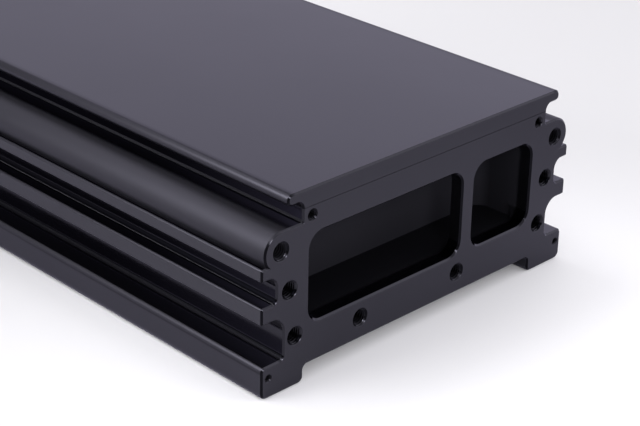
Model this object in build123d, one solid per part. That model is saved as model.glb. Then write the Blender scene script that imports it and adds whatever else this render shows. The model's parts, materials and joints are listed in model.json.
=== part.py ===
from build123d import *
import os

# Finned aluminium enclosure: a long milled body with windowed ends and a flat top cover.
# Millimetres. X is across the fins, Y along the body, Z up from the soles of the two feet.
# The end face with both windows that looks towards -Y is the front.

# Overall
body_length = 200.0
body_width = 120.0

# Feet: two rails along the body, with a shallow recess between them
foot_height = 9.5
foot_width = 14.8
recess_height = 4.8
foot_sole_radius = 2.0
foot_inner_radius = 1.8
foot_top_radius = 1.2
recess_corner_radius = 1.4

# Side slots and fins, from the feet up, as they are on the left side
lower_slot_height = 12.3
lower_slot_depth = 7.6
lower_slot_roof_radius = 4.2
lower_fin_thickness = 4.9
upper_slot_height = 7.3
upper_slot_depth = 5.1
upper_slot_roof_radius = 2.7
upper_fin_thickness = 3.6
slot_floor_radius = 1.6
slot_step_height = 0.12
slot_step_reach = 1.8
fin_edge_radius = 0.6
right_fin_drop = 1.0

# Rounded lobe above the upper fin, and the neck that carries the cover
lobe_radius = 5.5
lobe_rise = 3.2
lobe_inset = 6.5
neck_inset = 12.5
neck_shift = 1.4
neck_height = 3.7
neck_corner_radius = 0.3

# Cover plate with an overhanging round lip on both sides
cover_thickness = 5.2
lip_thickness = 3.2
lip_reach = 5.2
lip_edge_radius = 1.5
throat_radius = 1.9

# Inside: end walls, a compartment behind each end wall, bulkheads and the main cavity
cavity_side_wall = 4.0
floor_thickness = 11.8
end_wall = 4.0
compartment_length = 14.6
bulkhead_thickness = 8.0
pocket_corner_radius = 4.0

# Windows in both end walls
window_height = 25.5
wide_window_width = 57.7
mullion_width = 5.0
window_corner_radius = 4.5
window_edge_break = 0.5

# Edge breaks on the end faces
end_edge_break = 0.5
seam_break = 0.12

# Tapped holes in the end faces, at the thread's outer radius. The M5 holes are the ends of ports
# through the whole length, and the M3 and M2 holes are blind holes in the front end face alone.
m5_radius = 2.5
m5_depth = 12.0
m5_rim_break = 0.25
m5_port_radius = 2.1
m3_radius = 1.5
m3_depth = 4.2
m3_rim_break = 0.2
m2_radius = 1.0
m2_depth = 5.0
m2_rim_break = 0.15
drill_point = 0.3

# Hole places: in from the body's or the neck's side, and above or below the level beside them
middle_hole_inset = 9.6
middle_hole_rise = 2.2
lower_hole_inset = 11.6
lower_hole_rise = 5.5
floor_hole_left = -24.6
floor_hole_right = 13.6
floor_hole_drop = 5.3
neck_hole_inset = 3.3
neck_hole_drop = 2.5
foot_hole_inset = 2.4
foot_hole_height = 6.0

# Cover screws, up through the bulkheads from the recess between the feet
screw_radius = 1.5
screw_length = 40.0
screw_head_radius = 2.75
screw_head_height = 3.0
screw_socket_flats = 2.5
screw_socket_depth = 1.5
screw_hole_play = 0.2
screw_head_play = 0.35
screw_thread_play = 0.05
screw_tip_gap = 0.3
screw_bite = 3.6
screw_spacing = 36.0

# Levels and half sizes that follow from the sizes above
half_width = body_width / 2
half_length = body_length / 2
lower_fin_z = foot_height + lower_slot_height
lower_fin_top = lower_fin_z + lower_fin_thickness
upper_fin_z = lower_fin_top + upper_slot_height
upper_fin_top = upper_fin_z + upper_fin_thickness
half_neck = half_width - neck_inset
half_gap = half_width - foot_width
lobe_x = half_width - lobe_inset
lobe_z = upper_fin_top + lobe_rise
shoulder_z = lobe_z + lobe_radius
seam_z = shoulder_z + neck_height
top_z = seam_z + cover_thickness
floor_z = recess_height + floor_thickness
lower_hole_z = foot_height + lower_hole_rise
middle_hole_z = lower_fin_top + middle_hole_rise
floor_hole_z = floor_z - floor_hole_drop
neck_hole_z = seam_z - neck_hole_drop
cavity_width = 2 * (half_neck - cavity_side_wall)
narrow_window_width = cavity_width - wide_window_width - mullion_width
bulkhead_y = half_length - end_wall - compartment_length
screw_row_y = bulkhead_y - bulkhead_thickness / 2
screw_tip_z = seam_z + screw_bite
screw_seat_z = screw_tip_z - screw_length
on_base = (Align.CENTER, Align.CENTER, Align.MIN)


def slot_corners(slot_floor, slot_roof, depth, roof_radius):
    """Corners and radii of one side slot, from its floor's inner corner to its roof's."""
    wall = half_width - depth
    return [((wall, slot_floor), slot_floor_radius), ((wall, slot_roof), roof_radius)]


def fin_corners(fin_bottom, fin_top):
    """Outer corners and radii of one fin."""
    return [((half_width, fin_bottom), fin_edge_radius), ((half_width, fin_top), fin_edge_radius)]


def filled_outline(corners, lower_z, upper_z):
    """Right half of a section, from its corners and radii, closed along the middle plane."""
    points = [(0, lower_z)] + [point for point, radius in corners] + [(0, upper_z)]
    radii = [0] + [radius for point, radius in corners] + [0]
    return make_face(FilletPolyline(*points, radius=radii, close=True))


def body_half_outline(fin_drop, shift):
    """One half of the body's section, drawn to the right, with the round lobe above the fins."""
    corners = [
        ((half_gap, recess_height), recess_corner_radius),
        ((half_gap, 0), foot_inner_radius),
        ((half_width, 0), foot_sole_radius),
        ((half_width, foot_height), foot_top_radius),
    ]
    lower_fin = (lower_fin_z - fin_drop, lower_fin_top - fin_drop)
    upper_fin = (upper_fin_z - fin_drop, upper_fin_top - fin_drop)
    corners += slot_corners(foot_height, lower_fin[0], lower_slot_depth, lower_slot_roof_radius)
    corners += fin_corners(*lower_fin)
    corners += slot_corners(lower_fin[1], upper_fin[0], upper_slot_depth, upper_slot_roof_radius)
    corners += fin_corners(*upper_fin)
    corners += [
        ((lobe_x, upper_fin[1]), 0),
        ((lobe_x, shoulder_z), 0),
        ((half_neck + shift, shoulder_z), neck_corner_radius),
        ((half_neck + shift, seam_z), 0),
    ]
    return filled_outline(corners, recess_height, seam_z) + Pos(lobe_x, lobe_z) * Circle(lobe_radius)


def cover_half_outline(shift):
    """One half of the cover's section: a plate whose round lip hangs over a hollow throat."""
    lip_z = top_z - lip_thickness
    lip_tip = half_neck + shift + lip_reach
    corners = [
        ((half_neck + shift, seam_z), 0),
        ((half_neck + shift, lip_z), throat_radius),
        ((lip_tip, lip_z), lip_edge_radius),
        ((lip_tip, top_z), lip_edge_radius),
    ]
    return filled_outline(corners, seam_z, top_z)


def along_body(left_half, right_half):
    """A bar as long as the body, from both halves of its section, each drawn to the right."""
    section = right_half + mirror(left_half, about=Plane.YZ)
    return extrude(Plane.XZ * section, amount=half_length, both=True)


def end_edges(bar):
    """Edges that bound both end faces."""
    faces = bar.faces().sort_by(Axis.Y)
    return faces[0].edges() + faces[-1].edges()


def at_both_ends(cutter):
    """A cutter for the front end, with its mirror image at the rear end."""
    return [cutter, mirror(cutter, about=Plane.XZ)]


def front_plane(x, z):
    """Plane on the front end face, at x and z, that looks into the body."""
    return Plane((x, -half_length, z), x_dir=(1, 0, 0), z_dir=(0, 1, 0))


def end_bore(x, z, radius, depth, rim_break):
    """A tapped hole into the front end face, with a drill point and a broken rim."""
    bore = Cylinder(radius, depth, align=on_base)
    point = Pos(0, 0, depth) * Cone(radius, 0, radius * drill_point, align=on_base)
    rim = Cone(radius + rim_break, radius, rim_break, align=on_base)
    return front_plane(x, z) * (bore + point + rim)


def m5_places():
    """Where the M5 ports are, as x and z."""
    places = [(floor_hole_left, floor_hole_z), (floor_hole_right, floor_hole_z)]
    for side in (-1, 1):
        places.append((side * lobe_x, lobe_z))
        places.append((side * (half_width - middle_hole_inset), middle_hole_z))
        places.append((side * (half_width - lower_hole_inset), lower_hole_z))
    return places


def m5_port(x, z):
    """Cutters for one port through the whole length, tapped from both ends."""
    port = front_plane(x, z) * Cylinder(m5_port_radius, body_length, align=on_base)
    return [port] + at_both_ends(end_bore(x, z, m5_radius, m5_depth, m5_rim_break))


def small_holes():
    """The M3 holes beside the seam and the M2 holes in the feet."""
    holes = []
    for side in (-1, 1):
        x = neck_shift + side * (half_neck - neck_hole_inset)
        holes.append(end_bore(x, neck_hole_z, m3_radius, m3_depth, m3_rim_break))
        x = side * (half_width - foot_hole_inset)
        holes.append(end_bore(x, foot_hole_height, m2_radius, m2_depth, m2_rim_break))
    return holes


def window(left_x, width):
    """Cutter for one window, through the end wall and past the pocket's round corners."""
    middle = front_plane(left_x + width / 2, floor_z + window_height / 2)
    sketch = middle * RectangleRounded(width, window_height, window_corner_radius)
    return extrude(sketch, amount=end_wall + pocket_corner_radius)


def slot_steps():
    """Hair-thin steps that two passes of the cutter leave along the inner floors of the slots."""
    steps = []
    for side, drop in ((-1, 0), (1, right_fin_drop)):
        slots = [(foot_height, lower_slot_depth), (lower_fin_top - drop, upper_slot_depth)]
        for slot_floor, depth in slots:
            width = slot_step_reach + slot_floor_radius
            middle = side * (half_width - depth + slot_step_reach - width / 2)
            strip = Box(width, body_length - 2 * end_edge_break, 2 * slot_step_height)
            steps.append(Pos(middle, 0, slot_floor) * strip)
    return steps


def windows():
    """Cutters for the wide and the narrow window of the front end."""
    left = -cavity_width / 2
    return [
        window(left, wide_window_width),
        window(cavity_width / 2 - narrow_window_width, narrow_window_width),
    ]


def pocket(y_from, y_to):
    """Cutter for one round-cornered pocket, open at the seam."""
    middle = Pos(0, (y_from + y_to) / 2, floor_z)
    return extrude(
        middle * RectangleRounded(cavity_width, y_to - y_from, pocket_corner_radius),
        amount=seam_z - floor_z,
    )


def screw_places():
    """Where the cover screws stand: three in each bulkhead."""
    return [Pos(i * screw_spacing, side * screw_row_y, 0) for i in (-1, 0, 1) for side in (-1, 1)]


def standing_cylinder(radius, lower_z, upper_z):
    """A cylinder about the Z axis between two levels."""
    return Pos(0, 0, lower_z) * Cylinder(radius, upper_z - lower_z, align=on_base)


def bounds_window(edge):
    """Whether an edge of an end face runs round a window."""
    centre = edge.center()
    sill = floor_z - window_edge_break
    head = floor_z + window_height + window_edge_break
    return abs(centre.X) <= cavity_width / 2 and sill < centre.Z < head


def make_body():
    """The milled body: profile, windows, pockets, tapped holes and screw holes."""
    bar = along_body(
        body_half_outline(0, -neck_shift), body_half_outline(right_fin_drop, neck_shift)
    )
    outer = [edge for edge in end_edges(bar) if edge.center().Z < seam_z - seam_break]
    bar = chamfer(outer, end_edge_break) + slot_steps()
    for cutter in windows():
        bar = bar - at_both_ends(cutter)
    bar = chamfer([edge for edge in end_edges(bar) if bounds_window(edge)], window_edge_break)
    for x, z in m5_places():
        bar = bar - m5_port(x, z)
    bar = bar - small_holes()
    bar = bar - at_both_ends(pocket(end_wall - half_length, -bulkhead_y))
    main_y = bulkhead_y - bulkhead_thickness
    bar = bar - pocket(-main_y, main_y)
    hole = standing_cylinder(screw_radius + screw_hole_play, recess_height, seam_z)
    counterbore = standing_cylinder(screw_head_radius + screw_head_play, recess_height, screw_seat_z)
    return bar - [place * (hole + counterbore) for place in screw_places()]


def seam_bevel():
    """Cutter for the fine bevel along the cover's lower front edge."""
    side = seam_break * 2 ** 0.5
    return Pos(neck_shift, -half_length, seam_z) * Rot(45, 0, 0) * Box(2 * half_neck, side, side)


def make_cover():
    """The cover plate, with blind tapped holes for its screws."""
    plate = along_body(cover_half_outline(-neck_shift), cover_half_outline(neck_shift))
    upper = [edge for edge in end_edges(plate) if edge.center().Z > seam_z + seam_break]
    plate = chamfer(upper, end_edge_break)
    plate = plate - at_both_ends(seam_bevel())
    hole = standing_cylinder(screw_radius + screw_thread_play, seam_z, screw_tip_z + screw_tip_gap)
    return plate - [place * hole for place in screw_places()]


def make_screw():
    """One socket-head screw, head down, with its shank up into the cover."""
    shank = standing_cylinder(screw_radius, screw_seat_z, screw_tip_z)
    head = standing_cylinder(screw_head_radius, screw_seat_z - screw_head_height, screw_seat_z)
    socket = Pos(0, 0, screw_seat_z - screw_head_height) * extrude(
        RegularPolygon(screw_socket_flats / 2, 6, major_radius=False), amount=screw_socket_depth
    )
    return shank + head - socket


def write(node, shape):
    """Write one node as a STEP file."""
    shape.label = node
    export_step(shape, os.path.join("parts", node + ".step"))


os.makedirs("parts", exist_ok=True)
write("housing_body", make_body())
write("top_cover", make_cover())
screw = make_screw()
write("cover_screws", Compound([(place * screw).solid() for place in screw_places()]))
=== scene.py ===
import json
import math
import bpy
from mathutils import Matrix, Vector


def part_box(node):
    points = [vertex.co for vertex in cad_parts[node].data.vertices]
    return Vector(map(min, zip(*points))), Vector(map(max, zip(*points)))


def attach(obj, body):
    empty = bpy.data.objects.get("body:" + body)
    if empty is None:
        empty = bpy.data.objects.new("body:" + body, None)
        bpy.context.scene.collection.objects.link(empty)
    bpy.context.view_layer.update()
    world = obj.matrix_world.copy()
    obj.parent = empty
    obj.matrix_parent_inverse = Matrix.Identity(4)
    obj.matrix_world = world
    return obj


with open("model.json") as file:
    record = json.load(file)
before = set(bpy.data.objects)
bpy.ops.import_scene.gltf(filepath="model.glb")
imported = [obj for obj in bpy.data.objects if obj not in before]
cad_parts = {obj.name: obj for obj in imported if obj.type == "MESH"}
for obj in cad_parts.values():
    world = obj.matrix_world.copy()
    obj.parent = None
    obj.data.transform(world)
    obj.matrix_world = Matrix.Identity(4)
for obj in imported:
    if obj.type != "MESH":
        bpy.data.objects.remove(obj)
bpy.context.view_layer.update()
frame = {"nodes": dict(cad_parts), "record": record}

from types import SimpleNamespace

import bmesh
import bpy
from mathutils import Matrix, Vector

# Looks of the black anodised enclosure. Metres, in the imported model's frame: X across the fins,
# Y along the body, Z up. The end face that the photograph shows looks towards -Y.

body = frame["nodes"]["housing_body"]
cover = frame["nodes"]["top_cover"]
screws = frame["nodes"]["cover_screws"]
body_low, body_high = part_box("housing_body")
cover_low, cover_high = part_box("top_cover")
mounts = {mount["name"]: mount for mount in frame["record"]["mounts"]}
bolt_patterns = [mount for mount in mounts.values() if mount["kind"] == "bolt_pattern"]
mm = 0.001

# Camera, as the photograph was taken
camera_place = Vector((-0.3157, -0.3782, 0.2373))
camera_heading = math.radians(44.71)
camera_dip = math.radians(25.91)
camera_roll = math.radians(1.14)
camera_lens = 97.9
sensor_width = 36.0

# Floor, and a patch of painted light in front of the end face that pales the body's contact shadow
floor_half_size = 8.0
floor_colour = (0.665, 0.66, 0.68)
floor_mottle_gain = 1.015
floor_mottle_noise = (3.0, 2.0)
floor_roughness = 0.75
floor_specular = 0.2
floor_painted_light_colour = (0.90, 0.895, 0.92)
floor_painted_light_centre = (0.0, -0.11, 0.0)
floor_painted_light_span = (0.05, 0.16)

# Sky: an even light, a low bright wall on the right, and light from the front and from above
sky_colour = (0.985, 0.975, 1.0)
even_light = 0.33
low_light = 1.36
low_light_span = (0.45, 0.80)
axis_lights = (("Y", -1, 0.32), ("Z", 1, 0.52))

# Softboxes: name, place, width, height, power in watts, and whether the floor takes its light
softbox_target = (-0.058, -0.08, 0.043)
softboxes = (
    ("left_side", (-0.44, 0.13, 0.27), 0.34, 0.40, 1.5, True),
    ("left_close", (-0.17, -0.03, 0.14), 0.10, 0.10, 0.21, False),
    ("high_back", (-0.05, 0.25, 0.50), 0.30, 0.30, 0.85, True),
    ("front_right", (0.78, -0.79, 1.02), 0.80, 0.80, 1.0, True),
    ("above_camera", (-0.40, -0.84, 0.57), 0.25, 0.25, 3.4, True),
)

# Places on the body that the finishes follow: distance from the middle plane, from the middle of
# the length, and height
fin_face = body_high.x
end_face = body_high.y
lobe_side = mounts["front_lobe_m5_pair"]["dims"]["spacing_x_mm"] / 2 * mm
lobe_height = mounts["front_lobe_m5_pair"]["pos_m"][2]
lobe_radius = 5.5 * mm

# Spans of place over which a mask goes from 0 to 1
end_edge_span = (end_face - 0.6 * mm, end_face - 0.5 * mm)
end_face_span = (end_face - 0.15 * mm, end_face - 0.05 * mm)
bore_mouth_span = (end_face - 0.5 * mm, end_face - 0.3 * mm)
bore_wall_span = (0.1 * mm, 0.3 * mm)
fin_tip_span = (fin_face - 1.0 * mm, fin_face - 0.5 * mm)
fin_face_span = (fin_face - 0.6 * mm, fin_face - 0.3 * mm)
fin_bottom_span = (11.0 * mm, 11.2 * mm)
foot_top_span = (9.0 * mm, 10.2 * mm)
slot_depth_span = (44.5 * mm, 45.5 * mm)
lobe_skin_span = (lobe_radius - 0.5 * mm, lobe_radius - 0.2 * mm)
off_lobe_span = (lobe_radius * 1.02, lobe_radius * 1.2)
cavity_side_span = (44.0 * mm, 44.5 * mm)
cavity_end_span = (end_face - 5.0 * mm, end_face - 3.5 * mm)
cavity_floor_span = (15.0 * mm, 15.5 * mm)

# Spans of the normal's share along an axis over which a mask goes from 0 to 1
flat_top_facing = (0.9, 0.99)
upward_facing = (0.6, 0.9)
slanting_facing = (0.1, 0.3)
downward_facing = (0.1, 0.4)
bevel_facing = (0.45, 0.6)
end_face_facing = (0.85, 0.97)
bevel_top_facing = (0.42, 0.60)
fin_face_facing = (0.95, 0.99)
foot_face_facing = (0.9, 0.98)
cover_top_facing = (0.4, 0.6)

# Painted highlight lines in the corners of the side slots and at the neck's foot: distance from the
# middle plane, height range and strength
corner_lines = ((0.0527, 0.0095, 0.0110, 0.16), (0.0559, 0.0256, 0.0276, 0.9), (0.0462, 0.0461, 0.0469, 0.4))
corner_line_half_width = 0.18 * mm
corner_line_fade = 0.2 * mm

# Painted shade: a fine dark line along the feet's outer faces, standing in for a groove's shade
foot_line_height = 8.0 * mm
foot_line_half_width = 0.5 * mm

# Soft bands of painted shade along both long edges of the cover's top, as distance from its middle
cover_middle = (cover_low.x + cover_high.x) / 2
band_inner_span = (0.0497, 0.0512)
band_outer_span = (0.0516, 0.0524)

# Noises of the finishes: scale and detail, and how strong their finer parts are
grain_noise = (2600.0, 2.0)
cloud_noise = (26.0, 4.0)
fine_line_noise = (1500.0, 3.0)
wobble_noise = (60.0, 2.0)
stroke_noise = (900.0, 2.0)
turning_noise = (4200.0, 3.0)
oil_noise = (700.0, 2.0)
noise_roughness = 0.55

# Relief of the finishes, as shares of the bump's full height, and that height
relief_height = 0.02 * mm
skin_bump = 0.5
grain_relief = 0.5
fine_line_relief = 0.35
fine_line_stretch = 0.012
milling_relief = 1.6
milling_lean = -1.1
milling_wobble = 4.0 * mm
slot_relief_lost = 0.85

# Anodised skin: its colours seen straight on, its tint seen at a low angle, and its roughness
anodised_dark = (0.034, 0.033, 0.041, 1.0)
anodised_light = (0.040, 0.039, 0.048, 1.0)
# Near-black colour that the painted shade in the slots, bores, cavity, bevels and cover bands goes towards
anodised_painted_shade_colour = (0.002, 0.002, 0.003, 1.0)
milled_colour = (0.047, 0.046, 0.055, 1.0)
# Colour of the painted highlight lines in the corners of the slots and the neck
glint_colour = (0.10, 0.10, 0.115, 1.0)
edge_tint = (0.90, 0.88, 1.0, 1.0)
skin_roughness = (0.35, 0.41)
lobe_rougher = 0.19
bevel_smoother = 0.15
glint_roughness = 0.9
glint_gain = 8.0

# Regions of the body: what they add to the skin's roughness, what they take from it, and how
# much painted shade they take, as a share of the way to the near-black colour, as the cover's bands do too
region_rougher = {"milled": 0.06, "undersides": 0.5, "inside": 0.42, "rounds": 0.3}
region_smoother = {"tops": 0.18, "walls": 0.24}
region_painted_shade = {
    "tops": 0.45, "walls": 0.35, "rounds": 1.0, "inside_tops": 0.5, "bores": 0.6, "foot_lines": 0.6,
}
band_painted_shade = 0.62

# Painted shade on the end faces' broken edges, what it loses where they look up, and the share that it
# loses at the slots
bevel_painted_shade = 0.85
bevel_top_brighter = 0.75
slot_end_brighter = 0.6

# Blackened steel of the cover screws
steel_dark = (0.030, 0.030, 0.033, 1.0)
steel_light = (0.050, 0.049, 0.050, 1.0)
steel_roughness = (0.28, 0.42)
steel_metallic = 0.6
steel_bump = 0.4
turning_stretch = 0.15

# Threads by the bore's radius, in millimetres: name, pitch, inner radius, length, rim break and
# steps in a turn
thread_sizes = {
    2.5: ("m5", 0.8, 2.067, 12.0, 0.25, 40),
    1.5: ("m3", 0.5, 1.23, 4.0, 0.2, 32),
    1.0: ("m2", 0.4, 0.78, 5.0, 0.15, 28),
}
thread_start = math.radians(100.0)

# How far a thread ridge reaches into the bore's wall, begins below the mouth, and reaches into the
# rim break, in millimetres
ridge_in_wall = 0.02
ridge_below_mouth = 0.05
ridge_in_rim = 0.01


def node(tree, kind, links=(), **values):
    """A shader node with its properties set by name, and its inputs linked or set."""
    made = tree.nodes.new(kind)
    for name, value in values.items():
        setattr(made, name, value)
    for socket, source in links:
        if hasattr(source, "default_value"):
            tree.links.new(source, made.inputs[socket])
        else:
            made.inputs[socket].default_value = source
    return made


def maths(tree, operation, a, b=0.0, clamp=False):
    """A Math node's result."""
    made = node(tree, "ShaderNodeMath", [(0, a), (1, b)], operation=operation, use_clamp=clamp)
    return made.outputs[0]


def in_turn(tree, operation, values):
    """The result of an operation on the first two values, then on that and the third, and so on."""
    result = values[0]
    for value in values[1:]:
        result = maths(tree, operation, result, value)
    return result


def product(tree, *values):
    """All values multiplied."""
    return in_turn(tree, "MULTIPLY", values)


def total(tree, *values):
    """All values added."""
    return in_turn(tree, "ADD", values)


def largest(tree, *values):
    """The largest value."""
    return in_turn(tree, "MAXIMUM", values)


def less(tree, value, amount):
    """The value less an amount."""
    return maths(tree, "SUBTRACT", value, amount)


def rest(tree, value):
    """What the value leaves of 1."""
    return less(tree, 1.0, value)


def size(tree, value):
    """The value without its sign."""
    return maths(tree, "ABSOLUTE", value)


def smooth_step(tree, value, span):
    """0 before the span, 1 after it, smooth within it."""
    start, end = span
    made = node(
        tree, "ShaderNodeMapRange", [("Value", value), ("From Min", start), ("From Max", end)],
        interpolation_type="SMOOTHSTEP",
    )
    return made.outputs["Result"]


def between(tree, value, low, high):
    """A value of 0 to 1 spread evenly from low to high."""
    made = node(tree, "ShaderNodeMapRange", [("Value", value), ("To Min", low), ("To Max", high)])
    return made.outputs["Result"]


def mixed(tree, share, first, second):
    """The first colour where the share is 0, the second where it is 1. Inputs 6 and 7 and output 2
    are the mix node's colours."""
    made = node(tree, "ShaderNodeMix", [(0, share), (6, first), (7, second)], data_type="RGBA")
    return made.outputs[2]


def stretched(tree, coordinates, x, y, z):
    """The coordinates scaled along each axis."""
    made = node(tree, "ShaderNodeMapping", [("Vector", coordinates), ("Scale", (x, y, z))])
    return made.outputs["Vector"]


def noise(tree, coordinates, scale, detail):
    """Noise from 0 to 1."""
    made = node(
        tree, "ShaderNodeTexNoise",
        [("Vector", coordinates), ("Scale", scale), ("Detail", detail), ("Roughness", noise_roughness)],
    )
    return made.outputs["Fac"]


def bumped(tree, relief, strength):
    """The normal, tilted by a relief."""
    links = [("Height", relief), ("Strength", strength), ("Distance", relief_height)]
    return node(tree, "ShaderNodeBump", links).outputs["Normal"]


def material(name):
    """A new node material, with its tree, its shader and the object's own coordinates."""
    made = bpy.data.materials.new(name)
    made.use_nodes = True
    tree = made.node_tree
    shader = tree.nodes["Principled BSDF"]
    coordinates = node(tree, "ShaderNodeTexCoord").outputs["Object"]
    return made, tree, shader, coordinates


def surface_point(tree, coordinates):
    """A point of the surface: its place, its distances from the middle, and the normal's shares."""
    place = node(tree, "ShaderNodeSeparateXYZ", [(0, coordinates)]).outputs
    normal = node(tree, "ShaderNodeNewGeometry").outputs["Normal"]
    facing = node(tree, "ShaderNodeSeparateXYZ", [(0, normal)]).outputs
    return SimpleNamespace(
        tree=tree,
        coordinates=coordinates,
        x=place["X"],
        y=place["Y"],
        height=place["Z"],
        from_middle=size(tree, place["X"]),
        from_midlength=size(tree, place["Y"]),
        facing_sideways=size(tree, facing["X"]),
        facing_endwise=size(tree, facing["Y"]),
        facing_up=facing["Z"],
    )


def anodised(name, add_details):
    """Black anodised aluminium: a dyed oxide skin over bead-blasted metal. The piece's own details
    change the skin by place."""
    made, tree, shader, coordinates = material(name)
    at = surface_point(tree, coordinates)
    clouds = noise(tree, coordinates, *cloud_noise)
    cloudy_roughness = between(tree, clouds, *skin_roughness)
    bevels = end_bevels(at)
    skin = SimpleNamespace(
        relief=skin_relief(at),
        roughness=total(tree, cloudy_roughness, product(tree, round_lobes(at), lobe_rougher)),
        painted_shade=product(tree, bevels, painted_shade_of_bevels(at)),
        paints=(),
    )
    add_details(at, skin)
    tint = mixed(tree, clouds, anodised_dark, anodised_light)
    # Painted shade: the colour goes towards near black where the details ask for shade
    tint = mixed(tree, skin.painted_shade, tint, anodised_painted_shade_colour)
    for mask, colour in skin.paints:
        tint = mixed(tree, mask, tint, colour)
    roughness = less(tree, skin.roughness, product(tree, bevels, bevel_smoother))
    tree.links.new(tint, shader.inputs["Base Color"])
    tree.links.new(roughness, shader.inputs["Roughness"])
    tree.links.new(bumped(tree, skin.relief, skin_bump), shader.inputs["Normal"])
    shader.inputs["Metallic"].default_value = 1.0
    shader.inputs["Specular Tint"].default_value = edge_tint
    return made


def skin_relief(at):
    """Blasted grain everywhere, and fine lines along the body but not on its flat tops and ends."""
    tree = at.tree
    grains = noise(tree, at.coordinates, *grain_noise)
    lines = noise(tree, stretched(tree, at.coordinates, 1.0, fine_line_stretch, 1.0), *fine_line_noise)
    off_tops = rest(tree, smooth_step(tree, at.facing_up, flat_top_facing))
    lines = product(tree, lines, rest(tree, at.facing_endwise), off_tops)
    return total(tree, product(tree, grains, grain_relief), product(tree, lines, fine_line_relief))


def body_details(at, skin):
    """Milled fins; painted shade in the slots, bores and inside of the body; painted highlight lines in the
    corners and a painted dark line of shade along the feet.
    """
    tree = at.tree
    regions = body_regions(at)
    # Painted highlight lines in the corners of the slots and at the neck's foot
    glints = corner_glints(at)
    milled = regions["milled"]
    smooth = largest(tree, regions["tops"], regions["walls"])
    skin.relief = total(
        tree, product(tree, skin.relief, rest(tree, product(tree, smooth, slot_relief_lost))),
        milling_lines(at, milled),
    )
    rougher = total(tree, skin.roughness, *weighted(tree, regions, region_rougher))
    changed = less(tree, rougher, largest(tree, *weighted(tree, regions, region_smoother)))
    on_glint = maths(tree, "MULTIPLY", glints, glint_gain, clamp=True)
    skin.roughness = largest(tree, changed, product(tree, on_glint, glint_roughness))
    # Painted shade: the bevels' shade, less at the slots' ends, and the shade of the body's regions
    off_slot_ends = rest(tree, product(tree, side_recesses(at), slot_end_brighter))
    skin.painted_shade = largest(
        tree, product(tree, skin.painted_shade, off_slot_ends), *weighted(tree, regions, region_painted_shade))
    skin.paints = ((milled, milled_colour), (glints, glint_colour))


def cover_details(at, skin):
    """Soft bands of painted shade along the cover's long edges."""
    skin.painted_shade = largest(at.tree, skin.painted_shade, product(at.tree, painted_shade_bands(at), band_painted_shade))


def weighted(tree, regions, shares):
    """Each named region times its share."""
    return [product(tree, regions[name], share) for name, share in shares.items()]


def body_regions(at):
    """Masks of the body's regions by name. Tops look up and lie in from the fins' tips. Walls line
    the recesses along both sides, and rounds and undersides are parts of them."""
    tree = at.tree
    upward = smooth_step(tree, at.facing_up, upward_facing)
    downward = smooth_step(tree, product(tree, at.facing_up, -1.0), downward_facing)
    slanting = smooth_step(tree, maths(tree, "MINIMUM", at.facing_sideways, at.facing_up), slanting_facing)
    walls = product(tree, side_recesses(at), between_ends(at))
    inside = inside_faces(at)
    return {
        "milled": milled_faces(at),
        "tops": product(tree, recesses(at), between_ends(at), largest(tree, upward, slanting)),
        "walls": walls,
        "rounds": product(tree, walls, slanting),
        "undersides": product(tree, walls, downward),
        "inside": inside,
        "inside_tops": product(tree, inside, upward),
        "bores": bore_faces(at),
        "foot_lines": foot_lines(at),
    }


def between_ends(at):
    """0 on both end faces, 1 elsewhere."""
    return rest(at.tree, smooth_step(at.tree, at.from_midlength, end_face_span))


def end_bevels(at):
    """1 on the broken edges of both end faces, 0 elsewhere."""
    at_end = smooth_step(at.tree, at.from_midlength, end_edge_span)
    steep = smooth_step(at.tree, at.facing_endwise, bevel_facing)
    flat = smooth_step(at.tree, at.facing_endwise, end_face_facing)
    return product(at.tree, at_end, less(at.tree, steep, flat))


def painted_shade_of_bevels(at):
    """How much painted shade the bevels take: little where they look up."""
    looking_up = smooth_step(at.tree, at.facing_up, bevel_top_facing)
    return less(at.tree, bevel_painted_shade, product(at.tree, looking_up, bevel_top_brighter))


def painted_shade_bands(at):
    """1 on the soft bands of painted shade along the long edges of the cover's top, 0 elsewhere."""
    aside = size(at.tree, less(at.tree, at.x, cover_middle))
    past_inner = smooth_step(at.tree, aside, band_inner_span)
    past_outer = smooth_step(at.tree, aside, band_outer_span)
    on_top = smooth_step(at.tree, at.facing_up, cover_top_facing)
    return product(at.tree, less(at.tree, past_inner, past_outer), on_top)


def from_axis(at, side, axis_side, axis_height):
    """Distance from an axis that runs along the body."""
    offset = node(at.tree, "ShaderNodeCombineXYZ", [
        (0, less(at.tree, side, axis_side)),
        (1, less(at.tree, at.height, axis_height)),
    ])
    length = node(at.tree, "ShaderNodeVectorMath", [(0, offset.outputs[0])], operation="LENGTH")
    return length.outputs["Value"]


def off_lobes(at):
    """0 in and near the round lobes, 1 elsewhere."""
    return smooth_step(at.tree, from_axis(at, at.from_middle, lobe_side, lobe_height), off_lobe_span)


def round_lobes(at):
    """1 on the round lobes, 0 elsewhere."""
    distance = from_axis(at, at.from_middle, lobe_side, lobe_height)
    skin = less(at.tree, smooth_step(at.tree, distance, lobe_skin_span), off_lobes(at))
    return product(at.tree, skin, between_ends(at))


def recesses(at):
    """1 above the feet and in from the fins' tips, 0 on the outer faces and on the lobes."""
    inside = rest(at.tree, smooth_step(at.tree, at.from_middle, fin_tip_span))
    above_feet = smooth_step(at.tree, at.height, foot_top_span)
    return product(at.tree, inside, above_feet, off_lobes(at))


def side_recesses(at):
    """1 in the recesses along both sides, 0 elsewhere."""
    return product(at.tree, recesses(at), smooth_step(at.tree, at.from_middle, slot_depth_span))


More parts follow.
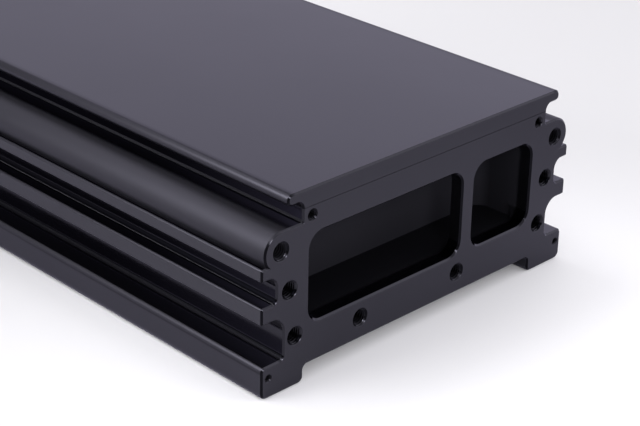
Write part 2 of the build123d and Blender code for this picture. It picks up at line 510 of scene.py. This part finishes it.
def corner_glints(at):
    """Each line's strength on the painted highlight lines in the corners of slots and neck, 0 elsewhere."""
    tree = at.tree
    lines = []
    for side, low, high, strength in corner_lines:
        aside = size(tree, less(tree, at.from_middle, side))
        near = rest(tree, smooth_step(tree, aside, (0.0, corner_line_half_width)))
        above = smooth_step(tree, at.height, (low - corner_line_fade, low))
        below = rest(tree, smooth_step(tree, at.height, (high, high + corner_line_fade)))
        lines.append(product(tree, near, above, below, strength))
    return product(tree, largest(tree, *lines), between_ends(at))


def bore_faces(at):
    """1 inside the tapped holes past their rim breaks, 0 elsewhere."""
    past_rim = rest(at.tree, smooth_step(at.tree, at.from_midlength, bore_mouth_span))
    bores = []
    for side, height, radius in bore_places():
        outside = [radius + reach for reach in bore_wall_span]
        bores.append(rest(at.tree, smooth_step(at.tree, from_axis(at, at.x, side, height), outside)))
    return product(at.tree, largest(at.tree, *bores), past_rim)


def bore_places():
    """Side and height to 0.01 mm, and radius, of every tapped hole, once for two that face each
    other."""
    places = set()
    for mount in bolt_patterns:
        for mouth in bolt_mouths(mount):
            places.add((round(mouth.x, 5), round(mouth.z, 5), mount["dims"]["hole_r_mm"] * mm))
    return sorted(places)


def inside_faces(at):
    """1 behind the windows and in the cavity, 0 elsewhere."""
    off_sides = rest(at.tree, smooth_step(at.tree, at.from_middle, cavity_side_span))
    off_ends = rest(at.tree, smooth_step(at.tree, at.from_midlength, cavity_end_span))
    above_floor = smooth_step(at.tree, at.height, cavity_floor_span)
    return product(at.tree, off_sides, off_ends, above_floor)


def milled_faces(at):
    """1 on the fins' outer faces, 0 elsewhere."""
    outer = smooth_step(at.tree, at.from_middle, fin_face_span)
    upright = smooth_step(at.tree, at.facing_sideways, fin_face_facing)
    above_feet = smooth_step(at.tree, at.height, fin_bottom_span)
    return product(at.tree, above_feet, outer, upright)


def milling_lines(at, milled):
    """Faint slanting strokes that a cutter left across the fins' outer faces."""
    tree = at.tree
    wobble = noise(tree, at.coordinates, *wobble_noise)
    run = total(tree, at.y, product(tree, at.height, milling_lean), product(tree, wobble, milling_wobble))
    scale, detail = stroke_noise
    strokes = node(
        tree, "ShaderNodeTexNoise", [("Scale", scale), ("Detail", detail), ("W", run)], noise_dimensions="1D")
    return product(tree, strokes.outputs["Fac"], milling_relief, milled)


def foot_lines(at):
    """1 on the painted dark line of shade below the top edge of both feet's outer faces, 0 elsewhere."""
    off_line = size(at.tree, less(at.tree, at.height, foot_line_height))
    line = rest(at.tree, smooth_step(at.tree, off_line, (0.0, foot_line_half_width)))
    upright = smooth_step(at.tree, at.facing_sideways, foot_face_facing)
    outer = smooth_step(at.tree, at.from_middle, fin_face_span)
    return product(at.tree, line, upright, outer)


def black_steel():
    """Blackened steel of the cover screws, with turned rings and a light oil sheen."""
    made, tree, shader, coordinates = material("blackened_steel")
    turning = noise(tree, stretched(tree, coordinates, turning_stretch, turning_stretch, 1.0), *turning_noise)
    oil = noise(tree, coordinates, *oil_noise)
    tree.links.new(mixed(tree, oil, steel_dark, steel_light), shader.inputs["Base Color"])
    tree.links.new(between(tree, oil, *steel_roughness), shader.inputs["Roughness"])
    tree.links.new(bumped(tree, turning, steel_bump), shader.inputs["Normal"])
    shader.inputs["Metallic"].default_value = steel_metallic
    return made


def paper_floor():
    """Pale matt floor, with painted light in front of the end face that pales the body's contact shadow."""
    made, tree, shader, coordinates = material("pale_floor")
    mottle = noise(tree, coordinates, *floor_mottle_noise)
    paler = [min(1.0, channel * floor_mottle_gain) for channel in floor_colour]
    tint = mixed(tree, mottle, (*floor_colour, 1.0), (*paler, 1.0))
    away = node(
        tree, "ShaderNodeVectorMath", [(0, coordinates), (1, floor_painted_light_centre)], operation="DISTANCE"
    ).outputs["Value"]
    # Painted light: a paler floor where the body's contact shadow falls in front of the end face
    painted_light = rest(tree, smooth_step(tree, away, floor_painted_light_span))
    tint = mixed(tree, painted_light, tint, (*floor_painted_light_colour, 1.0))
    tree.links.new(tint, shader.inputs["Base Color"])
    shader.inputs["Roughness"].default_value = floor_roughness
    shader.inputs["Specular IOR Level"].default_value = floor_specular
    return made


def dress(piece, finish):
    """Give a piece one material."""
    piece.data.materials.clear()
    piece.data.materials.append(finish)


def add_to_scene(thing):
    """Put an object into the scene's collection."""
    bpy.context.scene.collection.objects.link(thing)


def ridge_section(pitch, root, inner):
    """A thread ridge's cut from one side of its root to the other: place along the bore and radius.
    The root is 7/8 of a pitch wide and the crest 1/4."""
    root_half = 7 / 16 * pitch
    crest_half = pitch / 8
    return ((-root_half, root), (-crest_half, inner), (crest_half, inner), (root_half, root))


def thread_ridge(mouth, inward, radius):
    """Corners and faces of one helical thread ridge that fills a bore from its mouth inwards. The
    rim break cuts its first turns away."""
    _, pitch, inner, length, rim, steps = thread_sizes[radius]
    root = radius + ridge_in_wall
    section = ridge_section(pitch, root, inner)
    points = len(section)
    count = int((length - pitch) / pitch * steps)
    corners, faces = [], []
    for i in range(count + 1):
        angle = 2 * math.pi * i / steps + thread_start
        for offset, wanted in section:
            depth = max(pitch * i / steps + offset, ridge_below_mouth)
            rim_radius = radius + rim + ridge_in_rim - depth
            reach = min(root, max(wanted, rim_radius))
            point = Vector((reach * math.cos(angle), 0.0, reach * math.sin(angle)))
            corners.append(mouth + mm * point + mm * depth * inward)
    for i in range(count):
        a, b = points * i, points * (i + 1)
        for k in range(points):
            n = (k + 1) % points
            faces.append((a + k, a + n, b + n, b + k))
    faces.append((0, *range(points - 1, 0, -1)))
    faces.append(tuple(points * count + k for k in range(points)))
    return corners, faces


def bolt_mouths(mount):
    """Both hole mouths of a bolt pattern of two in a line."""
    half = mount["dims"]["spacing_x_mm"] / 2 * mm
    middle = Vector(mount["pos_m"])
    return [middle + Vector((side * half, 0.0, 0.0)) for side in (-1, 1)]


def threads(name, patterns, finish):
    """One piece that holds the thread ridges of these bolt patterns."""
    corners, faces = [], []
    for mount in patterns:
        inward = -Vector(mount["axis"])
        for mouth in bolt_mouths(mount):
            some, more = thread_ridge(mouth, inward, mount["dims"]["hole_r_mm"])
            faces += [tuple(k + len(corners) for k in face) for face in more]
            corners += some
    mesh = bpy.data.meshes.new(name)
    mesh.from_pydata([tuple(corner) for corner in corners], [], faces)
    mesh.validate()
    make_normals_outward(mesh)
    piece = bpy.data.objects.new(name, mesh)
    add_to_scene(piece)
    dress(piece, finish)
    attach(piece, "root")


def make_normals_outward(mesh):
    """Turn every face of a closed mesh outwards."""
    bm = bmesh.new()
    bm.from_mesh(mesh)
    bmesh.ops.recalc_face_normals(bm, faces=bm.faces)
    bm.to_mesh(mesh)
    bm.free()


def make_threads(finish):
    """Threads of every tapped hole, grouped by end and size."""
    for end, sign in (("front", -1), ("rear", 1)):
        for radius, (size_name, *_) in thread_sizes.items():
            chosen = [m for m in bolt_patterns if m["dims"]["hole_r_mm"] == radius and m["axis"][1] == sign]
            if chosen:
                threads(f"{end}_{size_name}_threads", chosen, finish)


def make_camera():
    """The camera that took the photograph."""
    data = bpy.data.cameras.new("camera")
    data.lens = camera_lens
    data.sensor_width = sensor_width
    forward = Vector((
        math.sin(camera_heading) * math.cos(camera_dip),
        math.cos(camera_heading) * math.cos(camera_dip),
        -math.sin(camera_dip),
    ))
    level = Vector((math.cos(camera_heading), -math.sin(camera_heading), 0.0))
    upward = level.cross(forward)
    right = math.cos(camera_roll) * level + math.sin(camera_roll) * upward
    up = right.cross(forward)
    camera = bpy.data.objects.new("camera", data)
    camera.matrix_world = Matrix((
        (right.x, up.x, -forward.x, camera_place.x),
        (right.y, up.y, -forward.y, camera_place.y),
        (right.z, up.z, -forward.z, camera_place.z),
        (0.0, 0.0, 0.0, 1.0),
    ))
    add_to_scene(camera)
    bpy.context.scene.camera = camera


def make_floor():
    """A wide pale floor under the feet's soles."""
    half, z = floor_half_size, body_low.z
    corners = [(-half, -half, z), (half, -half, z), (half, half, z), (-half, half, z)]
    mesh = bpy.data.meshes.new("floor")
    mesh.from_pydata(corners, [], [(0, 1, 2, 3)])
    floor = bpy.data.objects.new("floor", mesh)
    add_to_scene(floor)
    dress(floor, paper_floor())


def make_sky():
    """Soft room light, strongest from a low bright wall on the right."""
    world = bpy.data.worlds.new("studio")
    bpy.context.scene.world = world
    world.use_nodes = True
    tree = world.node_tree
    towards = node(tree, "ShaderNodeTexCoord").outputs["Generated"]
    direction = node(tree, "ShaderNodeSeparateXYZ", [(0, towards)]).outputs
    low_down = rest(tree, smooth_step(tree, direction["Z"], low_light_span))
    to_right = largest(tree, direction["X"], 0.0)
    strength = total(tree, product(tree, low_down, to_right, low_light), even_light)
    for axis, sign, light in axis_lights:
        share = maths(tree, "MULTIPLY", direction[axis], sign, clamp=True)
        strength = total(tree, product(tree, share, light), strength)
    background = tree.nodes["Background"]
    background.inputs["Color"].default_value = (*sky_colour, 1.0)
    tree.links.new(strength, background.inputs["Strength"])


def make_softbox(name, place, width, height, power, on_floor):
    """A rectangular soft light that looks at the body's near end. The camera doesn't see it."""
    data = bpy.data.lights.new(name, "AREA")
    data.shape = "RECTANGLE"
    data.size = width
    data.size_y = height
    data.energy = power
    light = bpy.data.objects.new(name, data)
    light.location = place
    light.visible_camera = False
    light.visible_diffuse = on_floor
    light.rotation_mode = "QUATERNION"
    light.rotation_quaternion = (Vector(softbox_target) - Vector(place)).to_track_quat("-Z", "Y")
    add_to_scene(light)


body_finish = anodised("anodised_body", body_details)
dress(body, body_finish)
dress(cover, anodised("anodised_cover", cover_details))
dress(screws, black_steel())
make_threads(body_finish)
make_floor()
make_sky()
for softbox in softboxes:
    make_softbox(*softbox)
make_camera()
bpy.context.scene.view_settings.view_transform = "Standard"
